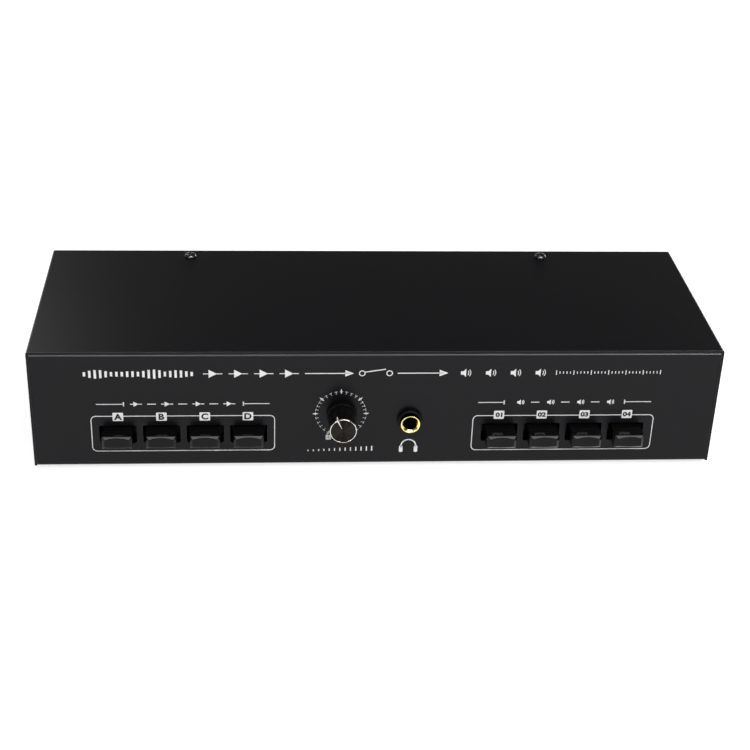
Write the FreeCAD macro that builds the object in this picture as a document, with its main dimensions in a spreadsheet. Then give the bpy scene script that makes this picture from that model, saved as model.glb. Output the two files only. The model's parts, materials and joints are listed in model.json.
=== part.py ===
"""Speaker selector switch: four amplifier inputs, four loudspeaker outputs, headphone socket and volume knob.

Millimetres. X runs to the right, Y to the back, Z up. The origin is on the table, under the middle of the box
that holds the whole object.
"""
import FreeCAD, Part
import Sketcher
import os
import re

doc = FreeCAD.newDocument("speaker_selector")
sheet = doc.addObject("Spreadsheet::Sheet", "Sizes")

SIZES = {
    # Sheet steel case
    "case_width": 320, "case_depth": 110, "case_height": 60,
    "sheet_gauge": 1.2, "cover_gap": 0.2, "bend_radius": 1.1,
    "flange_depth": 13, "tab_height": 16, "tab_inset": 14,
    # Rubber feet
    "foot_height": 3, "foot_diameter": 14, "foot_inset": 18, "foot_edge": 1,
    # Machine screws that hold the cover and the board
    "screw_diameter": 3, "screw_length": 6, "screw_head": 6, "screw_head_height": 1.8,
    "screw_head_edge": 0.8, "screw_crown": 3.1, "screw_shoulder": 4.9, "screw_shoulder_height": 1.5,
    "screw_recess": 3.6, "screw_slot": 0.8, "screw_recess_depth": 1.1,
    "top_screw_inset": 70, "top_screw_setback": 7.5, "side_screw_inset": 19, "side_screw_height": 9,
    # Push buttons and the windows that they stand in
    "button_pitch": 20.1, "input_inset": 69.5, "output_inset": 72.4,
    "window_width": 17.2, "window_height": 9.6, "window_middle": 16.7, "window_corner": 0.8,
    "cap_width": 14, "cap_height": 6.6, "cap_length": 15, "cap_middle": 16.8,
    "cap_bevel": 1.4, "cap_dish_chord": 10.6, "cap_dish_depth": 0.6,
    "pressed_reach": 8.7, "released_reach": 10.5,
    "stem_width": 4, "stem_height": 4, "stem_length": 12,
    "switch_width": 15.4, "switch_height": 11, "switch_length": 24, "switch_setback": 9,
    "stem_clearance": 0.3, "stem_bore_depth": 15,
    # Volume knob and its potentiometer
    "knob_middle": -17.2, "knob_axis": 27.3, "knob_reach": 16, "knob_gap": 0.8,
    "knob_skirt": 14.2, "knob_skirt_height": 2.6, "knob_root": 13, "knob_face": 12.4,
    "knob_face_height": 1.2, "knob_face_bevel": 0.45, "knob_hollow": 12, "knob_hollow_depth": 3.6,
    "shaft_diameter": 6, "shaft_play": 0.05, "shaft_grip": 11, "shaft_seat": 5,
    "bushing_diameter": 8, "bushing_height": 3.4, "pot_diameter": 17, "pot_depth": 9,
    "pot_nut_width": 9.6, "pot_nut_height": 2,
    # Headphone socket
    "jack_middle": 14.7, "jack_axis": 24, "jack_bore": 6.4, "jack_ring": 9.4, "jack_reach": 5,
    "jack_rim": 0.35, "jack_mouth": 0.9,
    "jack_seat": 5, "jack_body_width": 15, "jack_body_length": 25, "jack_end": 2,
    "jack_nut": 11.6, "jack_nut_height": 2.6, "jack_nut_edge": 0.5,
    # Binding posts on the rear wall
    "post_inset": 17.5, "post_row_gap": 19,
    "post_cap_diameter": 12, "post_cap_length": 14.5, "post_cap_edge": 0.8,
    "post_flute": 1.5, "post_flute_outset": 0.3,
    "post_sleeve": 6, "post_play": 0.05, "post_end_gap": 0.5, "banana_bore": 4.1, "banana_depth": 12,
    "post_thread": 4, "collar_diameter": 11, "collar_height": 2.5, "collar_shoulder": 7.6,
    "washer_height": 1.5, "post_nut_width": 7, "post_nut_height": 3, "post_tail": 2,
    # Circuit boards
    "board_thickness": 1.6, "main_board_gap": 6, "main_board_depth": 58, "main_board_setback": 7,
    "terminal_board_inset": 8, "terminal_board_gap": 4,
    "standoff_width": 5.5, "standoff_gap": 6.5, "standoff_setback": 5,
}
for row, (alias, size) in enumerate(SIZES.items(), start=1):
    sheet.set(f"A{row}", alias)
    sheet.set(f"B{row}", str(size))
    sheet.setAlias(f"B{row}", alias)
doc.recompute()

# Planes of the case, as expressions on the sheet
MIDDLE = "((knob_reach - collar_height - post_cap_length) / 2)"
FRONT = f"({MIDDLE} - case_depth / 2)"
REAR = f"({MIDDLE} + case_depth / 2)"
BOTTOM = "foot_height"
TOP = "(foot_height + case_height)"
INNER_WIDTH = "(case_width - 2 * sheet_gauge - 2 * cover_gap)"
INNER_TOP = f"({TOP} - sheet_gauge - cover_gap)"
BOARD_TOP = "(foot_height + cap_middle - switch_height / 2)"
MAIN_BOARD_WIDTH = "(case_width - 2 * screw_length - 2 * main_board_gap)"
TERMINAL_BOARD_HEIGHT = "(case_height - 2 * screw_length - 2 * terminal_board_gap)"
INPUT_MIDDLE = "(input_inset - case_width / 2)"
OUTPUT_MIDDLE = "(case_width / 2 - output_inset)"
POST_COLUMNS = 16
POST_PITCH = f"((case_width - 2 * post_inset) / {POST_COLUMNS - 1})"
POST_MIDDLE = "(foot_height + case_height / 2)"
FLUTES = 14
OVERCUT = 1

X, Y = FreeCAD.Vector(1, 0, 0), FreeCAD.Vector(0, 1, 0)
UPRIGHT = FreeCAD.Rotation()
FORWARD = FreeCAD.Rotation(X, 90)
BACKWARD = FreeCAD.Rotation(X, -90)
RIGHTWARD = FreeCAD.Rotation(Y, 90)
LEFTWARD = FreeCAD.Rotation(Y, -90)


def on_sheet(text):
    """An expression in which each size's alias reads the sheet."""
    return re.sub(r"\b[a-z]+(?:_[a-z]+)+\b", r"Sizes.\g<0>", str(text))


def bind(item, prop, text):
    """Bind a property to an expression on the sheet's sizes."""
    item.setExpression(prop, on_sheet(text))


def place(item, x, y, z, turn=UPRIGHT):
    """Turn an object, and bind its position to three expressions."""
    item.Placement = FreeCAD.Placement(FreeCAD.Vector(), turn)
    for axis, text in zip("xyz", (x, y, z)):
        bind(item, f".Placement.Base.{axis}", text)
    return item


def block(name, width, depth, height, x, y, z):
    """A box from its low corner."""
    item = doc.addObject("Part::Box", name)
    bind(item, "Length", width)
    bind(item, "Width", depth)
    bind(item, "Height", height)
    return place(item, x, y, z)


def rod(name, diameter, length, x, y, z, turn=UPRIGHT):
    """A cylinder that starts at its position and runs along its turned Z axis."""
    item = doc.addObject("Part::Cylinder", name)
    bind(item, "Radius", f"({diameter}) / 2")
    bind(item, "Height", length)
    return place(item, x, y, z, turn)


def hexagon(name, width, height, x, y, z, turn=UPRIGHT):
    """A hexagonal prism of a width across its flats."""
    item = doc.addObject("Part::Prism", name)
    item.Polygon = 6
    bind(item, "Circumradius", f"({width}) / 2 / cos(30)")
    bind(item, "Height", height)
    return place(item, x, y, z, turn)


def group(name, items):
    """Several separate solids under one name."""
    item = doc.addObject("Part::Compound", name)
    item.Links = items
    return item


def join(name, *items):
    """One solid made of overlapping ones."""
    item = doc.addObject("Part::MultiFuse", name)
    item.Shapes = list(items)
    item.Refine = True
    return item


def cut(name, base, *tools):
    """A solid with others taken out of it."""
    item = doc.addObject("Part::Cut", name)
    item.Base = base
    item.Tool = tools[0] if len(tools) == 1 else group(f"{name}_tools", list(tools))
    item.Refine = True
    return item


def rounded(name, base, size, along, keep=lambda middle: True):
    """Fillet the straight edges along a direction whose middles are kept."""
    doc.recompute()
    item = doc.addObject("Part::Fillet", name)
    item.Base = base
    chosen = []
    for number, edge in enumerate(base.Shape.Edges, start=1):
        ends = edge.Vertexes
        if len(ends) == 2 and edge.Curve.TypeId == "Part::GeomLine":
            run = ends[1].Point - ends[0].Point
            if run.cross(along).Length < 1e-6 and keep((ends[0].Point + ends[1].Point) * 0.5):
                chosen.append((number, sheet.get(size), sheet.get(size)))
    item.Edges = chosen
    return item


def bevel_round(name, base, size, level):
    """Chamfer every edge that lies in the plane y = level."""
    doc.recompute()
    item = doc.addObject("Part::Chamfer", name)
    item.Base = base
    item.Edges = [(number, sheet.get(size), sheet.get(size))
                  for number, edge in enumerate(base.Shape.Edges, start=1)
                  if abs(edge.BoundBox.YMin - level) < 1e-4 and edge.BoundBox.YLength < 1e-4]
    return item


def reading(text):
    """The present value of an expression on the sheet, in millimetres."""
    return float(sheet.evalExpression(on_sheet(text)))


def revolved(name, outline):
    """A body turned about its Z axis from an outline of (radius, height) corners."""
    body = doc.addObject("PartDesign::Body", name)
    sketch = body.newObject("Sketcher::SketchObject", f"{name}_outline")
    sketch.AttachmentSupport = [(part, "") for part in body.Origin.OriginFeatures if part.Role == "XZ_Plane"]
    sketch.MapMode = "FlatFace"
    corners = [FreeCAD.Vector(reading(radius), reading(height), 0) for radius, height in outline]
    for start, end in zip(corners, corners[1:] + corners[:1]):
        sketch.addGeometry(Part.LineSegment(start, end), False)
    for number, corner in enumerate(corners):
        following = (number + 1) % len(corners)
        sketch.addConstraint(Sketcher.Constraint("Coincident", number, 2, following, 1))
        across = sketch.addConstraint(Sketcher.Constraint("DistanceX", -1, 1, number, 1, corner.x))
        along = sketch.addConstraint(Sketcher.Constraint("DistanceY", -1, 1, number, 1, corner.y))
        bind(sketch, f"Constraints[{across}]", outline[number][0])
        bind(sketch, f"Constraints[{along}]", outline[number][1])
    turned = body.newObject("PartDesign::Revolution", f"{name}_turned")
    turned.Profile = sketch
    turned.ReferenceAxis = (sketch, ["V_Axis"])
    turned.Angle = 360
    return body


def copy_of(master, name, x, y, z, turn=UPRIGHT):
    """The same piece again, linked to its master, in another place."""
    link = doc.addObject("App::Link", name)
    link.LinkedObject = master
    return place(link, x, y, z, turn)


nodes = {}


def finish(label, item):
    """Name a finished sub-part."""
    item.Label = label
    nodes[label] = item
    return item


# Base chassis: one steel sheet bent into the bottom, the front panel and the rear wall, with flanges and tabs
folded = rounded("chassis_folds",
                 block("chassis_outside", INNER_WIDTH, "case_depth", f"{INNER_TOP} - {BOTTOM}",
                       f"-{INNER_WIDTH} / 2", FRONT, BOTTOM), "bend_radius", X)
hollow = block("chassis_inside", f"{INNER_WIDTH} + 2 * {OVERCUT}", "case_depth - 2 * sheet_gauge",
               f"{INNER_TOP} - {BOTTOM} - 2 * sheet_gauge",
               f"-{INNER_WIDTH} / 2 - {OVERCUT}", f"{FRONT} + sheet_gauge", f"{BOTTOM} + sheet_gauge")
hatch = block("chassis_open_top", f"{INNER_WIDTH} + 2 * {OVERCUT}", "case_depth - 2 * flange_depth",
              "4 * sheet_gauge", f"-{INNER_WIDTH} / 2 - {OVERCUT}", f"{FRONT} + flange_depth",
              f"{INNER_TOP} - 2 * sheet_gauge")
tabs = [block(f"chassis_tab_{side}", "sheet_gauge", "case_depth - 2 * tab_inset", "tab_height",
              x, f"{FRONT} + tab_inset", BOTTOM)
        for side, x in (("left", f"-{INNER_WIDTH} / 2"), ("right", f"{INNER_WIDTH} / 2 - sheet_gauge"))]
sheet_metal = join("chassis_sheet", cut("chassis_shell", folded, hollow, hatch), *tabs)

BUTTONS = {f"input_button_{letter}": (INPUT_MIDDLE, column, "pressed_reach")
           for column, letter in enumerate("abcd")}
BUTTONS.update({f"output_button_{column + 1}": (OUTPUT_MIDDLE, column, "released_reach")
                for column in range(len(BUTTONS))})


def button_x(middle, column):
    """Where a button stands in its row of four."""
    return f"({middle} + {column - 1.5} * button_pitch)"


windows = []
for name, (middle, column, reach) in BUTTONS.items():
    hole = block(f"{name}_window_box", "window_width", "3 * sheet_gauge", "window_height",
                 f"{button_x(middle, column)} - window_width / 2", f"{FRONT} - sheet_gauge",
                 "foot_height + window_middle - window_height / 2")
    windows.append(rounded(f"{name}_window", hole, "window_corner", Y))

CHANNELS = "abcd1234"
POSTS = {}
for column in range(POST_COLUMNS):
    for pole, up in (("minus", -0.5), ("plus", 0.5)):
        name = f"{CHANNELS[column // 2]}_{'left' if column % 2 == 0 else 'right'}_{pole}"
        across = f"({column - (POST_COLUMNS - 1) / 2} * {POST_PITCH})"
        POSTS[name] = (across, f"({POST_MIDDLE} + {up} * post_row_gap)")

SCREW_PLACES = {}
for side in (-1, 1):
    SCREW_PLACES[f"top_{side + 1}"] = (f"{side} * (case_width / 2 - top_screw_inset)",
                                       f"{REAR} - top_screw_setback", TOP, UPRIGHT)
    for end in (-1, 1):
        SCREW_PLACES[f"side_{side + 1}_{end + 1}"] = (
            f"{side} * case_width / 2", f"{MIDDLE} + {end} * (case_depth / 2 - side_screw_inset)",
            "foot_height + side_screw_height", RIGHTWARD if side > 0 else LEFTWARD)


def screw_holes(piece):
    """Holes along each cover screw, through whatever the screw passes."""
    holes = []
    for name, (x, y, z, turn) in SCREW_PLACES.items():
        shift = turn.multVec(FreeCAD.Vector(0, 0, -1))
        start = [f"{text} + {number} * screw_length" for text, number in zip((x, y, z), shift)]
        holes.append(rod(f"{piece}_screw_hole_{name}", "screw_diameter", f"screw_length + {OVERCUT}",
                         *start, turn))
    return holes


pot_hole = rod("panel_pot_hole", "bushing_diameter", "3 * sheet_gauge",
               "knob_middle", f"{FRONT} - sheet_gauge", "foot_height + knob_axis", BACKWARD)
jack_hole = rod("panel_jack_hole", "jack_ring", "3 * sheet_gauge",
                "jack_middle", f"{FRONT} - sheet_gauge", "foot_height + jack_axis", BACKWARD)
post_holes = [rod(f"wall_hole_{name}", "collar_shoulder", "3 * sheet_gauge",
                  x, f"{REAR} - 2 * sheet_gauge", z, BACKWARD) for name, (x, z) in POSTS.items()]
finish("base_chassis", cut("chassis", sheet_metal, *windows, pot_hole, jack_hole, *post_holes,
                           *screw_holes("chassis")))

# Top cover: one steel sheet bent over the top and down both sides
lid = rounded("cover_folds",
              block("cover_outside", "case_width", "case_depth", "case_height",
                    "-case_width / 2", FRONT, BOTTOM),
              "bend_radius", Y, lambda middle: middle.z > reading(POST_MIDDLE))
under = block("cover_inside", "case_width - 2 * sheet_gauge", f"case_depth + 2 * {OVERCUT}", "case_height",
              "-case_width / 2 + sheet_gauge", f"{FRONT} - {OVERCUT}", f"{BOTTOM} - sheet_gauge")
finish("top_cover", cut("cover", lid, under, *screw_holes("cover")))

# Machine screws with a pan head and a cross recess: six hold the cover, six hold the main board
shank = rod("screw_shank", "screw_diameter", "screw_length", "0", "0", "-screw_length")
head = revolved("screw_head_form", [
    ("0", "0"), ("screw_head / 2", "0"), ("screw_head / 2", "screw_head_edge"),
    ("screw_shoulder / 2", "screw_shoulder_height"), ("screw_crown / 2", "screw_head_height"),
    ("0", "screw_head_height")])
slots = [block(f"screw_slot_{axis}", width, depth, f"screw_recess_depth + {OVERCUT}", f"-({width}) / 2",
               f"-({depth}) / 2", "screw_head_height - screw_recess_depth")
         for axis, width, depth in (("x", "screw_recess", "screw_slot"), ("y", "screw_slot", "screw_recess"))]
screw = cut("screw", join("screw_solid", shank, head), *slots)
finish("cover_screws", group("cover_screw_set", [
    copy_of(screw, f"cover_screw_{name}", *spot) for name, spot in SCREW_PLACES.items()]))

# Rubber feet: four round pads under the corners
feet = []
for side in (-1, 1):
    for end in (-1, 1):
        foot = revolved(f"foot_{side + 1}_{end + 1}", [
            ("0", "0"), ("foot_diameter / 2 - foot_edge", "0"), ("foot_diameter / 2", "foot_edge"),
            ("foot_diameter / 2", "foot_height"), ("0", "foot_height")])
        feet.append(place(foot, f"{side} * (case_width / 2 - foot_inset)",
                          f"{MIDDLE} + {end} * (case_depth / 2 - foot_inset)", "0"))
finish("rubber_feet", group("foot_set", feet))

# Push-push switches: eight bodies on the main board, each with a square bore for its button's stem
switch_block = block("switch_block", "switch_width", "switch_length", "switch_height",
                     "-switch_width / 2", "0", "-switch_height / 2")
stem_bore = block("switch_bore", "stem_width + 2 * stem_clearance", f"stem_bore_depth + {OVERCUT}",
                  "stem_height + 2 * stem_clearance", "-stem_width / 2 - stem_clearance", f"-{OVERCUT}",
                  "-stem_height / 2 - stem_clearance")
switch = cut("switch_form", switch_block, stem_bore)
finish("switch_bodies", group("switch_set", [
    copy_of(switch, f"switch_{name}", button_x(middle, column), f"{FRONT} + switch_setback",
            "foot_height + cap_middle")
    for name, (middle, column, reach) in BUTTONS.items()]))

# Push buttons: caps with four bevels round a dished face, each on a square stem
DISH = "((cap_dish_chord ^ 2 / 4 + cap_dish_depth ^ 2) / (2 * cap_dish_depth))"
for name, (middle, column, reach) in BUTTONS.items():
    x = button_x(middle, column)
    face = f"({FRONT} - {reach})"
    low = "(foot_height + cap_middle - cap_height / 2)"
    whole = block(f"{name}_block", "cap_width", "cap_length", "cap_height", f"{x} - cap_width / 2", face, low)
    bevelled = bevel_round(f"{name}_bevels", whole, "cap_bevel", reading(face))
    dish = rod(f"{name}_dish", f"2 * {DISH}", f"cap_height + 2 * {OVERCUT}", x,
               f"{face} + cap_dish_depth - {DISH}", f"{low} - {OVERCUT}")
    stem = block(f"{name}_stem", "stem_width", f"stem_length + {OVERCUT}", "stem_height",
                 f"{x} - stem_width / 2", f"{face} + cap_length - {OVERCUT}",
                 "foot_height + cap_middle - stem_height / 2")
    finish(name, join(f"{name}_form", cut(f"{name}_cap", bevelled, dish), stem))

# Volume knob: a moulded body with a turned metal face, on the shaft of a panel potentiometer
KNOB = ("knob_middle", FRONT, "foot_height + knob_axis", FORWARD)
FACE_BACK = "(knob_reach - knob_face_height)"
finish("volume_knob", place(revolved("knob_form", [
    ("shaft_diameter / 2", "knob_gap + knob_hollow_depth"), ("knob_hollow / 2", "knob_gap + knob_hollow_depth"),
    ("knob_hollow / 2", "knob_gap"), ("knob_skirt / 2", "knob_gap"),
    ("knob_skirt / 2", "knob_gap + knob_skirt_height"), ("knob_root / 2", "knob_gap + knob_skirt_height"),
    ("knob_face / 2", FACE_BACK), ("0", FACE_BACK), ("0", "knob_gap + shaft_grip"),
    ("shaft_diameter / 2", "knob_gap + shaft_grip")]), *KNOB))
finish("knob_face", place(revolved("knob_face_form", [
    ("0", FACE_BACK), ("knob_face / 2", FACE_BACK), ("knob_face / 2", "knob_reach - knob_face_bevel"),
    ("knob_face / 2 - knob_face_bevel", "knob_reach"), ("0", "knob_reach")]), *KNOB))
finish("pot_shaft", rod("shaft", "shaft_diameter", "shaft_grip + knob_gap + sheet_gauge + shaft_seat",
                        "knob_middle", f"{FRONT} + sheet_gauge + shaft_seat", "foot_height + knob_axis", FORWARD))
finish("pot_body", place(revolved("pot_form", [
    ("shaft_diameter / 2 + shaft_play", "bushing_height"), ("bushing_diameter / 2", "bushing_height"),
    ("bushing_diameter / 2", "-sheet_gauge"), ("pot_diameter / 2", "-sheet_gauge"),
    ("pot_diameter / 2", "-sheet_gauge - pot_depth"), ("0", "-sheet_gauge - pot_depth"),
    ("0", "-sheet_gauge - shaft_seat - shaft_play"),
    ("shaft_diameter / 2 + shaft_play", "-sheet_gauge - shaft_seat - shaft_play")]), *KNOB))
finish("pot_nut", cut("pot_nut_form",
                      hexagon("pot_nut_solid", "pot_nut_width", "pot_nut_height", *KNOB),
                      rod("pot_nut_hole", "bushing_diameter", "pot_nut_height", *KNOB)))

# Headphone socket: a moulded body behind the panel, a plated sleeve through it and a black ring nut
JACK = ("jack_middle", FRONT, "foot_height + jack_axis", FORWARD)
JACK_BACK = "(sheet_gauge + jack_body_length)"
socket = block("socket_block", "jack_body_width", "jack_body_length", "jack_body_width",
               "jack_middle - jack_body_width / 2", f"{FRONT} + sheet_gauge",
               "foot_height + jack_axis - jack_body_width / 2")
socket_bore = place(revolved("socket_bore", [
    ("0", "0"), ("jack_ring / 2", "0"), ("jack_ring / 2", "-sheet_gauge - jack_seat"),
    ("jack_bore / 2", "-sheet_gauge - jack_seat"), ("jack_bore / 2", f"jack_end - {JACK_BACK}"),
    ("0", f"jack_end - {JACK_BACK}")]), *JACK)
finish("jack_body", cut("socket_form", socket, socket_bore))
finish("jack_bushing", place(revolved("sleeve_form", [
    ("jack_bore / 2", "-sheet_gauge - jack_seat"), ("jack_ring / 2", "-sheet_gauge - jack_seat"),
    ("jack_ring / 2", "jack_reach - jack_rim"), ("jack_ring / 2 - jack_rim", "jack_reach"),
    ("jack_bore / 2 + jack_mouth", "jack_reach"), ("jack_bore / 2", "jack_reach - jack_mouth")]), *JACK))
finish("jack_nut", place(revolved("ring_nut_form", [
    ("jack_ring / 2", "0"), ("jack_nut / 2", "0"), ("jack_nut / 2", "jack_nut_height - jack_nut_edge"),
    ("jack_nut / 2 - jack_nut_edge", "jack_nut_height"), ("jack_ring / 2", "jack_nut_height")]), *JACK))

# Main board on six standoffs, with the switches on it
STANDOFFS = {}
beside_inputs = f"{button_x(INPUT_MIDDLE, 0)} - switch_width / 2 - standoff_gap"
beside_outputs = f"{button_x(OUTPUT_MIDDLE, 3)} + switch_width / 2 + standoff_gap"
for column, across in enumerate((beside_inputs, "0", beside_outputs)):
    for end, setback in enumerate(("standoff_setback", "(main_board_depth - standoff_setback)")):
        STANDOFFS[f"{column}_{end}"] = (across, f"{FRONT} + main_board_setback + {setback}")
board_sheet = block("main_board_sheet", MAIN_BOARD_WIDTH, "main_board_depth", "board_thickness",
                    f"-{MAIN_BOARD_WIDTH} / 2", f"{FRONT} + main_board_setback", f"{BOARD_TOP} - board_thickness")
finish("main_board", cut("main_board_form", board_sheet, *[
    rod(f"main_board_hole_{name}", "screw_diameter", f"board_thickness + 2 * {OVERCUT}", *spot,
        f"{BOARD_TOP} - board_thickness - {OVERCUT}") for name, spot in STANDOFFS.items()]))
standoffs, board_screws = [], []
for name, spot in STANDOFFS.items():
    pillar = hexagon(f"standoff_solid_{name}", "standoff_width",
                     f"{BOARD_TOP} - board_thickness - {BOTTOM} - sheet_gauge", *spot, f"{BOTTOM} + sheet_gauge")
    bore = rod(f"standoff_hole_{name}", "screw_diameter", "screw_length", *spot, f"{BOARD_TOP} - screw_length")
    standoffs.append(cut(f"standoff_{name}", pillar, bore))
    board_screws.append(copy_of(screw, f"board_screw_{name}", *spot, BOARD_TOP))
finish("board_standoffs", group("standoff_set", standoffs))
finish("board_screws", group("board_screw_set", board_screws))

# Binding posts: plated studs through insulated collars, nuts inside, and a fluted screw cap on each
WALL_INSIDE = "-collar_height - sheet_gauge"
NUT_FRONT = f"{WALL_INSIDE} - washer_height - post_nut_height"
stud = revolved("stud_form", [
    ("0", f"{NUT_FRONT} - board_thickness - post_tail"),
    ("post_thread / 2", f"{NUT_FRONT} - board_thickness - post_tail"), ("post_thread / 2", "0"),
    ("post_sleeve / 2", "0"), ("post_sleeve / 2", "post_cap_length - post_end_gap"),
    ("banana_bore / 2", "post_cap_length - post_end_gap"),
    ("banana_bore / 2", "post_cap_length - post_end_gap - banana_depth"),
    ("0", "post_cap_length - post_end_gap - banana_depth")])
collar = revolved("collar_form", [
    ("post_thread / 2", WALL_INSIDE), ("collar_shoulder / 2", WALL_INSIDE),
    ("collar_shoulder / 2", "-collar_height"), ("collar_diameter / 2", "-collar_height"),
    ("collar_diameter / 2", "0"), ("post_thread / 2", "0")])
washer = revolved("washer_form", [
    ("post_thread / 2", f"{WALL_INSIDE} - washer_height"),
    ("collar_diameter / 2", f"{WALL_INSIDE} - washer_height"),
    ("collar_diameter / 2", WALL_INSIDE), ("post_thread / 2", WALL_INSIDE)])
post_nut = cut("post_nut_form",
               hexagon("post_nut_solid", "post_nut_width", "post_nut_height", "0", "0", NUT_FRONT),
               rod("post_nut_hole", "post_thread", f"post_nut_height + 2 * {OVERCUT}", "0", "0",
                   f"{NUT_FRONT} - {OVERCUT}"))
plain_cap = revolved("plain_cap", [
    ("post_sleeve / 2 + post_play", "0"), ("post_cap_diameter / 2 - post_cap_edge", "0"),
    ("post_cap_diameter / 2", "post_cap_edge"), ("post_cap_diameter / 2", "post_cap_length - post_cap_edge"),
    ("post_cap_diameter / 2 - post_cap_edge", "post_cap_length"),
    ("post_sleeve / 2 + post_play", "post_cap_length")])
FLUTE_RADIUS = "(post_cap_diameter / 2 + post_flute_outset)"
flutes = [rod(f"flute_{number}", "post_flute", "post_cap_length",
              f"{FLUTE_RADIUS} * cos({number * 360 / FLUTES})",
              f"{FLUTE_RADIUS} * sin({number * 360 / FLUTES})", "collar_height")
          for number in range(FLUTES)]
fluted_cap = cut("fluted_cap", plain_cap, *flutes)

COLLAR_FACE = f"({REAR} + collar_height)"
sets = {"post_studs": (stud, []), "post_collars": (collar, []), "post_washers": (washer, []),
        "post_nuts": (post_nut, [])}
for name, (x, z) in POSTS.items():
    for label, (master, items) in sets.items():
        items.append(copy_of(master, f"{label}_{name}", x, COLLAR_FACE, z, BACKWARD))
    finish(f"cap_{name}", copy_of(fluted_cap, f"post_cap_{name}", x, COLLAR_FACE, z, BACKWARD))
finish("post_studs", group("stud_set", sets["post_studs"][1]))
finish("post_insulators", group("insulator_set", sets["post_collars"][1] + sets["post_washers"][1]))
finish("post_nuts", group("nut_set", sets["post_nuts"][1]))

# Terminal board: an upright circuit board that the tails of the studs pass through
BOARD_BACK = f"({COLLAR_FACE} + {NUT_FRONT} - board_thickness)"
upright_sheet = block("terminal_board_sheet", "case_width - 2 * terminal_board_inset", "board_thickness",
                      TERMINAL_BOARD_HEIGHT, "-case_width / 2 + terminal_board_inset", BOARD_BACK,
                      f"{POST_MIDDLE} - {TERMINAL_BOARD_HEIGHT} / 2")
finish("terminal_board", cut("terminal_board_form", upright_sheet, *[
    rod(f"tail_hole_{name}", "post_thread", f"board_thickness + 2 * {OVERCUT}", x, f"{BOARD_BACK} - {OVERCUT}",
        z, BACKWARD) for name, (x, z) in POSTS.items()]))

# Each sub-part is checked, then written to its own file
doc.recompute()
failed = [item.Name for item in doc.Objects if "Invalid" in item.State or "Error" in item.State]
if failed:
    raise RuntimeError(f"these did not compute: {failed}")
os.makedirs("parts", exist_ok=True)
for label, item in nodes.items():
    shape = Part.getShape(item)
    if shape.isNull() or not shape.isValid() or not shape.Solids:
        raise RuntimeError(f"{label} has no valid solid")
    shape.exportStep(f"parts/{label}.step")
    print(f"{label}: {len(shape.Solids)} solids, {sum(solid.Volume for solid in shape.Solids):.1f} mm3")
print(f"{len(nodes)} sub-parts")
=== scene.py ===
"""Speaker selector switch: a flat black steel case with two rows of push buttons, a volume knob and a
headphone socket in front, and rows of binding posts behind. Metres; X right, Y back, Z up."""
import bpy
import bmesh
import json
import math
import numpy as np
from mathutils import Matrix, Vector

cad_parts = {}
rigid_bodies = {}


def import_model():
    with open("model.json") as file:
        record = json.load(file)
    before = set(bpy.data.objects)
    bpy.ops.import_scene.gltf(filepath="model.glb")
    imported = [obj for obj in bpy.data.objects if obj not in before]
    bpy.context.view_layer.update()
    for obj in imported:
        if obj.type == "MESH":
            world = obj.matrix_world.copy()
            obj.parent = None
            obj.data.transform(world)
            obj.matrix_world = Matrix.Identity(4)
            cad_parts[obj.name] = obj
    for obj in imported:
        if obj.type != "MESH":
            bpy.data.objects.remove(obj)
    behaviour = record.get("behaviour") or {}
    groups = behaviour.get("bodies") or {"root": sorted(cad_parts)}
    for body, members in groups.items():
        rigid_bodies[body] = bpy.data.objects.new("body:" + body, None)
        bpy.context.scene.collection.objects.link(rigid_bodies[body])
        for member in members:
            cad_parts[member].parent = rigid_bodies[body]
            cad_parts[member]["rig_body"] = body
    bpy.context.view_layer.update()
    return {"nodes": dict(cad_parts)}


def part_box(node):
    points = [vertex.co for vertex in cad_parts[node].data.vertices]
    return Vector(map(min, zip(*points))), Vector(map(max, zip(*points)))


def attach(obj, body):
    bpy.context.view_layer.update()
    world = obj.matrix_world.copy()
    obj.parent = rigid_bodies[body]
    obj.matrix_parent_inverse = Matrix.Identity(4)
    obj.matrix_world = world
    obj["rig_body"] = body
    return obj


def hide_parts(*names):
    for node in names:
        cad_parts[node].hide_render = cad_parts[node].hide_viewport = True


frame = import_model()
nodes = frame["nodes"]
scene = bpy.context.scene
MM = 0.001

# Camera: it looks down on the front from a little left of the middle, as the photograph does, with a
# moderately long lens and no shift. The angles are in radians, the lens and the sensor in millimetres.
CAMERA_PLACE = (-0.05566, -0.67055, 0.39441)
CAMERA_PITCH, CAMERA_ROLL, CAMERA_TURN = -0.5079, -0.0384, -0.0865
LENS, SENSOR_WIDTH, NEAREST = 73.81, 36, 10 * MM

camera = bpy.data.objects.new("camera", bpy.data.cameras.new("camera"))
camera.data.lens = LENS
camera.data.sensor_width = SENSOR_WIDTH
camera.data.clip_start = NEAREST
level_view = Matrix.Rotation(math.pi / 2, 4, "X")
aim = (Matrix.Rotation(CAMERA_TURN, 4, "Z") @ Matrix.Rotation(CAMERA_PITCH, 4, "X")
       @ Matrix.Rotation(CAMERA_ROLL, 4, "Y") @ level_view)
camera.matrix_world = Matrix.Translation(CAMERA_PLACE) @ aim
scene.collection.objects.link(camera)
scene.camera = camera


# Powder-coated case: the chassis is one bent steel sheet that makes the bottom, the front and the rear,
# and the cover is another over the top and sides. The coat has a fine satin grain and is glossier on folds
# and edges, where a lighter colour is also painted on as a highlight.
POWDER_BLACK = (0.0036, 0.0037, 0.0050, 1)
# The lighter colour of folds and eased edges is a painted highlight, not a colour of the coat.
PAINTED_EDGE_HIGHLIGHT = (0.075, 0.075, 0.084, 1)
EDGE_EASE = 0.35 * MM
FLAT_SHARE = 0.97  # a face whose normal is less square to the axes than this lies on a fold
FOLD_ANGLE = math.radians(25)
FLAT_WEIGHT = 80
MERGE_DISTANCE, SAME_PLANE = 0.002 * MM, math.radians(0.5)


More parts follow.
